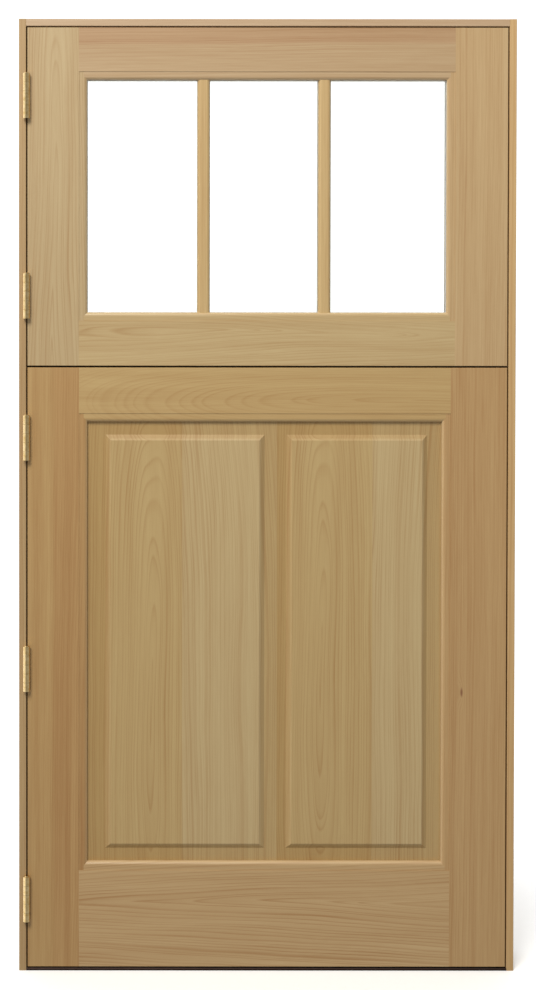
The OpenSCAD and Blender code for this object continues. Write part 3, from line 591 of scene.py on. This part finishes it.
class StableDoorTrim(PropertyGroup):
    """Small trim: nail fillings, threshold and seals."""
    putty: colour("Putty", "#C69F70", "Colour of the filled nail holes")
    putty_grit: colour("Putty grit", "#B08A5E", "Colour of the coarser grains in the putty")
    filling: length("Nail hole radius", 1.4, "Radius of a filled nail hole")
    proud: length("Filling height", 0.12, "How far a filling stands proud")
    # The threshold's dark bronze also stands in for the shadow band under the door
    bronze_and_shadow: colour("Threshold", "#4B3930", "Colour of the anodised threshold")
    bronze_lines: colour("Threshold lines", "#2F241E", "Colour of the threshold's brushed lines")
    rubber: colour("Seal", "#2B2420", "Colour of the seals")
    dust: colour("Dust", "#3A332E", "Colour of the dust in the seals' skin")
    rubber_grain: length("Rubber grain", 1.111111, "Size of the grain in the rubber's matt skin")


class STABLEDOOR_OT_nails(Operator):
    """Fill the nail holes of the stops and the beads"""
    bl_idname = "stabledoor.nails"
    bl_label = "Fill Nail Holes"

    def execute(self, context):
        looks = context.scene.stable_door_trim
        for name, end in (("hinge_side_stop", 1), ("latch_side_stop", 0)):
            lo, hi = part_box(name)
            x, y = (lo, hi)[end][0], (lo[1] + hi[1]) / 2
            heights = np.linspace(lo[2] + STOP_END, hi[2] - STOP_END, STOP_NAILS)
            nail_fillings(name + "_fillings", [(x, y, z) for z in heights], "X", looks, "frame")
        lo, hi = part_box("head_stop")
        across = np.linspace(lo[0] + STOP_END, hi[0] - STOP_END, HEAD_NAILS)
        nail_fillings("head_stop_fillings", [(x, (lo[1] + hi[1]) / 2, lo[2]) for x in across],
                      "Z", looks, "frame")
        places = []
        for lite in ("left", "middle", "right"):
            lo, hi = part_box(lite + "_beads")
            across = np.linspace(lo[0] + BEAD_END, hi[0] - BEAD_END, BEAD_NAILS)
            for z in (lo[2] + BEAD_EDGE, hi[2] - BEAD_EDGE):
                places += [(x, hi[1], z) for x in across]
        nail_fillings("bead_fillings", places, "Y", looks, "upper_leaf")
        return {"FINISHED"}


# Brass, bronze and rubber

class StableDoorBrass(PropertyGroup):
    """The hinges."""
    polished: colour("Polished brass", "#E8CF9C", "Colour of bright brass")
    tarnished: colour("Tarnished brass", "#BF9A52", "Colour where lacquer and fingers have dulled it")
    roughness: share("Polish", 0.12, "Roughness of the polished faces")
    dulled: share("Dulled polish", 0.08, "Roughness that the tarnish adds")


def hinge_brass(looks):
    """Drawn brass, polished and lacquered: mirror streaks broken by a thin cloudy tarnish."""
    material, tree = blank("polished_brass")
    here = node(tree, "ShaderNodeTexCoord").outputs["Object"]
    cloud = node(tree, "ShaderNodeTexNoise", {
        "Vector": here, "Scale": 1 / (8.333333 * MM), "Detail": 3, "Roughness": 0.6})
    dull = node(tree, "ShaderNodeMapRange", {"Value": cloud, "From Min": 0.35, "From Max": 0.85})
    tone = node(tree, "ShaderNodeMix", {
        "Factor": dull, "A": looks.polished, "B": looks.tarnished}, data_type="RGBA")
    rough = node(tree, "ShaderNodeMapRange", {
        "Value": dull, "To Min": looks.roughness, "To Max": looks.roughness + looks.dulled})
    shade(tree, {"Base Color": tone, "Metallic": 1.0, "Roughness": rough})
    return material


def anodised_bronze(looks):
    """Extruded aluminium, brushed along its length and anodised dark bronze, whose darkness also paints the
    shadow under the door.
    """
    material, tree = blank("anodised_aluminium_bronze")
    here = node(tree, "ShaderNodeTexCoord").outputs["Object"]
    lines = node(tree, "ShaderNodeMapping", {"Vector": here, "Scale": repeats(125, 1.111111, 1.111111)})
    brushed = node(tree, "ShaderNodeTexNoise", {"Vector": lines, "Scale": 1, "Detail": 3})
    tone = node(tree, "ShaderNodeMix", {
        "Factor": brushed, "A": looks.bronze_and_shadow, "B": looks.bronze_lines}, data_type="RGBA")
    rough = node(tree, "ShaderNodeMapRange", {"Value": brushed, "To Min": 0.32, "To Max": 0.5})
    dent = node(tree, "ShaderNodeBump", {"Height": brushed, "Strength": 0.2, "Distance": 0.1 * MM})
    shade(tree, {"Base Color": tone, "Metallic": 0.85, "Roughness": rough, "Normal": dent})
    return material


def seal_rubber(looks):
    """Extruded rubber: nearly black, matt, with a fine dusty skin."""
    material, tree = blank("extruded_rubber")
    here = node(tree, "ShaderNodeTexCoord").outputs["Object"]
    dust = node(tree, "ShaderNodeTexNoise", {"Vector": here, "Scale": 1 / looks.rubber_grain, "Detail": 2})
    tone = node(tree, "ShaderNodeMix", {
        "Factor": dust, "A": looks.rubber, "B": looks.dust}, data_type="RGBA")
    skin = node(tree, "ShaderNodeBump", {"Height": dust, "Strength": 0.3, "Distance": 0.05 * MM})
    shade(tree, {"Base Color": tone, "Roughness": 0.75, "Normal": skin})
    return material


class STABLEDOOR_OT_hinges(Operator):
    """Polish the hinges, their pins and all screws"""
    bl_idname = "stabledoor.hinges"
    bl_label = "Polish Hinges"

    def execute(self, context):
        wear(hinge_brass(context.scene.stable_door_brass), nodes_named("_plate", "_pin", "screws"))
        return {"FINISHED"}


class STABLEDOOR_OT_threshold(Operator):
    """Finish the threshold, the seals and the setting blocks"""
    bl_idname = "stabledoor.threshold"
    bl_label = "Finish Threshold and Seals"

    def execute(self, context):
        looks = context.scene.stable_door_trim
        wear(anodised_bronze(looks), ["threshold"])
        wear(seal_rubber(looks), nodes_named("_seal") + ["setting_blocks"])
        return {"FINISHED"}


# Studio

class StableDoorStudio(PropertyGroup):
    """Camera, lights and floor."""
    distance: length("Camera distance", 3750, "From the camera to the door's face")
    height: length("Camera height", 1600, "Height of the camera over the floor")
    aside: length("Camera aside", -250, "How far the camera stands off the door's middle line")
    tilt: angle("Camera tilt", 0.859, "How far the camera looks down")
    roll: angle("Camera roll", -0.0495, "How far the camera leans to one side")
    lens: FloatProperty(name="Lens", description="Focal length", default=61.375, min=1, unit="CAMERA")
    shift: FloatVectorProperty(name="Lens shift", description="Shift of the lens, sideways and up",
                               default=(0.1141, -0.2171), size=2)
    key_place: FloatVectorProperty(name="Key place", description="Where the soft key light stands",
                                   default=(-1.7, -4.2, 5.3), subtype="TRANSLATION")
    key_target: FloatVectorProperty(name="Key target", description="What the key light is aimed at",
                                    default=(0.6, 0, 1.6), subtype="TRANSLATION")
    key_colour: FloatVectorProperty(name="Key colour", description="Colour of the soft key light",
                                    default=(1, 0.97, 0.93), size=3, min=0, max=1, subtype="COLOR")
    key_power: FloatProperty(name="Key light", description="Power of the soft key light, high on the left",
                             default=320, min=0, unit="POWER")
    key_size: length("Key size", 2200, "Side of the soft key light")
    ahead: share("Light ahead", 0.31, "Brightness of the room in front of the door")
    above: share("Light above", 0.10, "What the room's ceiling adds to that")
    below: amount("Light below", 1.3, "Light that a pale floor all round throws back, against the room's")
    beside: amount("Light beside", 1.15, "Brightness on the hinge side, against the latch side")
    window: amount("Window", 0.8, "Brightness of the window that the brass mirrors")
    wall: share("Wall", 0.15, "Brightness of the wall opposite, against the window's")
    behind: share("Light behind", 0.85, "Brightness of the room behind the door")
    backdrop: amount("Backdrop", 1.25, "Brightness of the backdrop that the camera sees")
    floor: colour("Floor", "#F4F4F2", "Colour of the painted floor")
    mottle: colour("Floor mottle", "#F0F0EE", "Colour of the roller's marks in the floor")
    floor_glow: share("Floor glow", 0.3, "Light that keeps the floor pale in the door's shadow")
    floor_reach: length("Floor reach", 1300, "How far the floor reaches before it has faded away")
    floor_solid: share("Solid floor", 0.35, "Share of that reach where it hasn't begun to fade")


# Between which shares of a unit direction the room's light changes: from the front to the
# back and from the hinge side to the latch side, up to the ceiling, down to the pale floor all
# round, and from the sides' middle to the window and the wall
BACK_TURN = (-0.15, 0.6)
SIDE_TURN = (-0.9, 0.9)
CEILING_TURN = (0.25, 0.9)
FLOOR_TURN = (-0.5, 0)
WINDOW_TURN = (-0.35, -0.75)
WALL_TURN = (0.35, 0.8)
# The camera's sensor (mm), and how near and how far it sees (m)
SENSOR_WIDTH = 36
CLIP_NEAR, CLIP_FAR = 0.05, 100


def studio_world(looks):
    """A soft room: dim in front of the door, a little brighter above, under the horizon and
    towards the hinge side, bright behind, and pure white where the camera looks at it directly
    or through the glass."""
    world = bpy.data.worlds.new("soft_daylight_room")
    world.use_nodes = True
    tree = world.node_tree
    tree.nodes.clear()
    way = node(tree, "ShaderNodeTexCoord").outputs["Generated"]
    part = node(tree, "ShaderNodeSeparateXYZ", {0: way})
    back = node(tree, "ShaderNodeMapRange", {
        "Value": part.outputs["Y"], "From Min": BACK_TURN[0], "From Max": BACK_TURN[1],
        "To Min": looks.ahead, "To Max": looks.behind}, interpolation_type="SMOOTHSTEP")
    ceiling = node(tree, "ShaderNodeMapRange", {
        "Value": part.outputs["Z"], "From Min": CEILING_TURN[0], "From Max": CEILING_TURN[1],
        "To Min": 0, "To Max": looks.above}, interpolation_type="SMOOTHSTEP")
    both_ways = node(tree, "ShaderNodeMath", {0: back, 1: ceiling}, operation="ADD")
    side = node(tree, "ShaderNodeMapRange", {
        "Value": part.outputs["X"], "From Min": SIDE_TURN[0], "From Max": SIDE_TURN[1],
        "To Min": looks.beside, "To Max": 1.0})
    below = node(tree, "ShaderNodeMapRange", {
        "Value": part.outputs["Z"], "From Min": FLOOR_TURN[0], "From Max": FLOOR_TURN[1],
        "To Min": looks.below, "To Max": 1}, interpolation_type="SMOOTHSTEP")
    level = node(tree, "ShaderNodeMath", {0: both_ways, 1: side}, operation="MULTIPLY")
    level = node(tree, "ShaderNodeMath", {0: level, 1: below}, operation="MULTIPLY")
    path = node(tree, "ShaderNodeLightPath")
    # A window on the hinge side and a much dimmer wall opposite, which only reflections show
    window = node(tree, "ShaderNodeMapRange", {
        "Value": part.outputs["X"], "From Min": WINDOW_TURN[0], "From Max": WINDOW_TURN[1],
        "To Max": looks.window}, interpolation_type="SMOOTHSTEP")
    wall = node(tree, "ShaderNodeMapRange", {
        "Value": part.outputs["X"], "From Min": WALL_TURN[0], "From Max": WALL_TURN[1],
        "To Max": looks.wall * looks.window}, interpolation_type="SMOOTHSTEP")
    shown = node(tree, "ShaderNodeMath", {0: window, 1: wall}, operation="ADD")
    level = node(tree, "ShaderNodeMath", {
        0: shown, 1: path.outputs["Is Glossy Ray"], 2: level}, operation="MULTIPLY_ADD")
    room = node(tree, "ShaderNodeBackground", {"Color": grey(1), "Strength": level})
    white = node(tree, "ShaderNodeBackground", {"Color": grey(1), "Strength": looks.backdrop})
    seen = node(tree, "ShaderNodeMath", {
        0: path.outputs["Is Camera Ray"], 1: path.outputs["Is Transmission Ray"]}, operation="MAXIMUM")
    both = node(tree, "ShaderNodeMixShader", {0: seen, 1: room, 2: white})
    node(tree, "ShaderNodeOutputWorld", {"Surface": both})
    bpy.context.scene.world = world


def aimed(thing, place, target):
    """Stands a light at a place and turns it to a target."""
    thing.location = place
    thing.rotation_euler = (Vector(target) - Vector(place)).to_track_quat("-Z", "Y").to_euler()


class STABLEDOOR_OT_studio(Operator):
    """Set up the camera, the lights, the room and the floor"""
    bl_idname = "stabledoor.studio"
    bl_label = "Set Up Studio"

    def execute(self, context):
        looks = context.scene.stable_door_studio
        lens = bpy.data.cameras.new("door_camera")
        lens.sensor_fit, lens.sensor_width, lens.lens = "AUTO", SENSOR_WIDTH, looks.lens
        lens.shift_x, lens.shift_y = looks.shift
        lens.clip_start, lens.clip_end = CLIP_NEAR, CLIP_FAR
        camera = bpy.data.objects.new("door_camera", lens)
        camera.location = (looks.aside, FRONT_Y - looks.distance, looks.height)
        camera.rotation_euler = (math.pi / 2 - looks.tilt, looks.roll, 0)
        key = bpy.data.lights.new("key_softbox", "AREA")
        key.energy, key.color = looks.key_power, looks.key_colour
        key.shape, key.size = "SQUARE", looks.key_size
        lamp = bpy.data.objects.new("key_softbox", key)
        aimed(lamp, looks.key_place, looks.key_target)
        lamp.visible_camera = False
        floor_mesh = bpy.data.meshes.new("studio_floor")
        side = looks.floor_reach
        floor_mesh.from_pydata(
            [(-side, -side, 0), (side, -side, 0), (side, side, 0), (-side, side, 0)], [], [(0, 1, 2, 3)])
        floor = bpy.data.objects.new("studio_floor", floor_mesh)
        floor_mesh.materials.append(painted_floor(looks))
        # The floor catches the door's shadow and lends the door no light
        floor.visible_diffuse = floor.visible_glossy = False
        for thing in (camera, lamp, floor):
            context.scene.collection.objects.link(thing)
        context.scene.camera = camera
        context.scene.view_settings.view_transform = "Standard"
        studio_world(looks)
        return {"FINISHED"}


def painted_floor(looks):
    """Rolled matt paint: pale, with the faint mottle of a roller."""
    material, tree = blank("rolled_matt_paint")
    here = node(tree, "ShaderNodeTexCoord").outputs["Object"]
    mottle = node(tree, "ShaderNodeTexNoise", {"Vector": here, "Scale": 1 / (25 * MM), "Detail": 2})
    tone = node(tree, "ShaderNodeMix", {
        "Factor": mottle, "A": looks.floor, "B": looks.mottle}, data_type="RGBA")
    away = node(tree, "ShaderNodeVectorMath", {0: here}, operation="LENGTH")
    fade = node(tree, "ShaderNodeMapRange", {
        "Value": away, "From Min": looks.floor_reach, "From Max": looks.floor_solid * looks.floor_reach},
        interpolation_type="SMOOTHSTEP")
    shade(tree, {
        "Base Color": tone, "Roughness": 0.8, "Alpha": fade,
        "Emission Color": looks.floor, "Emission Strength": looks.floor_glow})
    return material


# Add-on

GROUPS = {
    "stable_door_timber": StableDoorTimber, "stable_door_glazing": StableDoorGlazing,
    "stable_door_trim": StableDoorTrim, "stable_door_brass": StableDoorBrass,
    "stable_door_studio": StableDoorStudio,
}
STEPS = (
    STABLEDOOR_OT_studio, STABLEDOOR_OT_frame, STABLEDOOR_OT_upper_leaf, STABLEDOOR_OT_lower_leaf,
    STABLEDOOR_OT_glazing, STABLEDOOR_OT_nails, STABLEDOOR_OT_hinges, STABLEDOOR_OT_threshold,
)


class STABLEDOOR_PT_panel(Panel):
    """Lists the steps and what they can be set to"""
    bl_idname = "STABLEDOOR_PT_panel"
    bl_label = "Stable Door"
    bl_space_type = "VIEW_3D"
    bl_region_type = "UI"
    bl_category = "Stable Door"

    def draw(self, context):
        for step in STEPS:
            self.layout.operator(step.bl_idname)
        for name, group in GROUPS.items():
            box = self.layout.box()
            for key in group.__annotations__:
                box.prop(getattr(context.scene, name), key)


def register():
    for name, group in GROUPS.items():
        bpy.utils.register_class(group)
        setattr(bpy.types.Scene, name, PointerProperty(type=group))
    for step in STEPS:
        bpy.utils.register_class(step)
    bpy.utils.register_class(STABLEDOOR_PT_panel)


def unregister():
    bpy.utils.unregister_class(STABLEDOOR_PT_panel)
    for step in reversed(STEPS):
        bpy.utils.unregister_class(step)
    for name, group in GROUPS.items():
        delattr(bpy.types.Scene, name)
        bpy.utils.unregister_class(group)


def main():
    register()
    for step in STEPS:
        getattr(bpy.ops.stabledoor, step.bl_idname.split(".")[1])()


if __name__ == "__main__":
    main()
